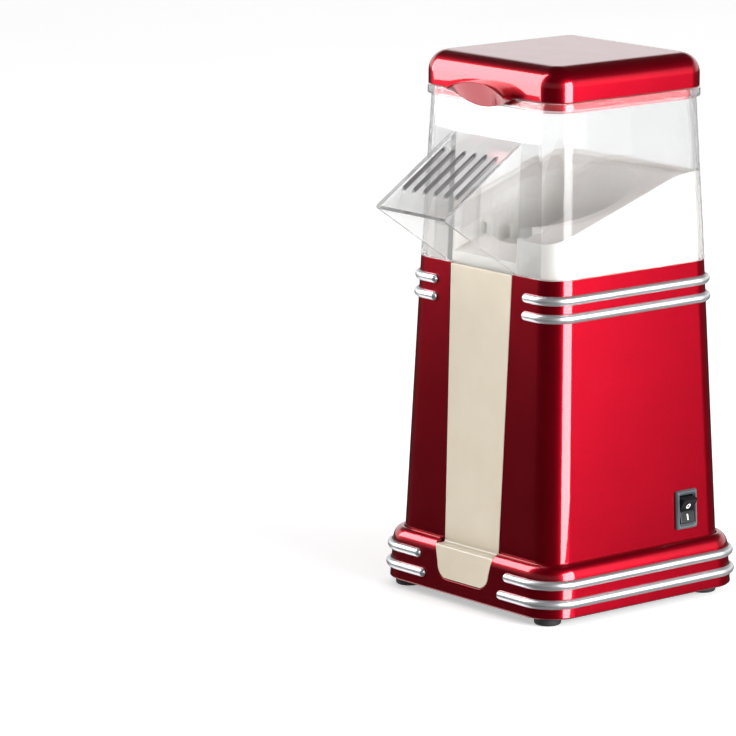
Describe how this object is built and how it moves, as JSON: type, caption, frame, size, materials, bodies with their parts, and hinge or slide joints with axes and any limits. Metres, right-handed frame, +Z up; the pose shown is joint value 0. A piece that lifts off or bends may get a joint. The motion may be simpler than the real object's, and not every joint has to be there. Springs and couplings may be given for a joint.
{
  "type": "popcorn maker",
  "caption": "Square tapered hot-air popcorn maker on a stepped plinth, with a clear lift-off hood, a slotted sloping chute and a lift-off lid.",
  "frame": {"origin": "centre of the bounding box's bottom face, on the surface that the feet stand on", "axes": "+Z up; -Y is the front, where the chute pours; +X is the side with the rocker switch"},
  "size_m": [0.139, 0.1709, 0.2796],
  "materials": {
    "red_shell": "metallic candy-red gloss",
    "black_plastic": "satin black",
    "ivory_plastic": "semi-gloss ivory",
    "clear_plastic": "clear polished",
    "silver_trim": "satin silver",
    "rubber_feet": "matte black rubber",
    "chamber_aluminium": "spun aluminium",
    "silicone": "matte silicone",
    "steel": "zinc-plated steel",
    "mica": "flaky mica",
    "heater_wire": "dull nichrome",
    "brass_metal": "plain brass",
    "copper_windings": "enamelled copper",
    "magnet": "dark ferrite",
    "circuit_board": "green laminate",
    "charcoal_plastic": "satin charcoal",
    "white_plastic": "white moulding",
    "brown_insulation": "brown wire insulation",
    "blue_insulation": "blue wire insulation"
  },
  "bodies": {
    "housing": {"base_shell": "red_shell", "body_shell": "red_shell", "base_plate": "black_plastic", "cord_gland": "black_plastic", "gland_nut": "black_plastic", "fan_case": "black_plastic", "motor_end_cap": "black_plastic", "diode_1": "black_plastic", "diode_2": "black_plastic", "diode_3": "black_plastic", "diode_4": "black_plastic", "front_panel": "ivory_plastic", "upper_deck": "ivory_plastic", "body_trim_upper": "silver_trim", "body_trim_lower": "silver_trim", "base_trim_upper": "silver_trim", "base_trim_lower": "silver_trim", "thermal_fuse": "silver_trim", "popping_chamber": "chamber_aluminium", "chamber_gasket": "silicone", "heater_housing": "steel", "motor_can": "steel", "mica_board_front": "mica", "mica_board_side": "mica", "heater_coil": "heater_wire", "thermostat": "brass_metal", "motor_bush": "brass_metal", "switch_blade_upper": "brass_metal", "switch_blade_lower": "brass_metal", "motor_magnet_left": "magnet", "motor_magnet_right": "magnet", "motor_screw_left": "steel", "motor_screw_right": "steel", "rectifier_board": "circuit_board", "switch_housing": "charcoal_plastic", "terminal_block": "white_plastic", "wire_supply_live": "brown_insulation", "wire_switched_live": "brown_insulation", "wire_neutral": "blue_insulation", "wire_motor_feed": "white_plastic", "wire_motor_return": "white_plastic", "foot_front_left": "rubber_feet", "base_screw_front_left": "steel", "housing_screw_front_left": "steel", "foot_front_right": "rubber_feet", "base_screw_front_right": "steel", "housing_screw_front_right": "steel", "foot_rear_left": "rubber_feet", "base_screw_rear_left": "steel", "housing_screw_rear_left": "steel", "foot_rear_right": "rubber_feet", "base_screw_rear_right": "steel", "housing_screw_rear_right": "steel"},
    "hood": {"hood": "clear_plastic"},
    "lid": {"lid": "red_shell"},
    "rocker": {"switch_rocker": "black_plastic"},
    "fan": {"fan_impeller": "steel", "motor_shaft": "steel", "motor_armature": "copper_windings"}
  },
  "joints": [
    {"name": "hood_lift", "type": "slide", "parent": "housing", "child": "hood", "axis": [0, 0, 1], "range_m": [0, 0.07]},
    {"name": "lid_lift", "type": "slide", "parent": "hood", "child": "lid", "axis": [0, 0, 1], "range_m": [0, 0.04]},
    {"name": "rocker_tilt", "type": "hinge", "parent": "housing", "child": "rocker", "pos_m": [0.0593, 0.04775, 0.04698], "axis": [0, -1, 0], "range_deg": [0, 22]},
    {"name": "fan_spin", "type": "hinge", "parent": "housing", "child": "fan", "pos_m": [0, 0.01585, 0.0666], "axis": [0, 0, 1], "continuous": true}
  ]
}
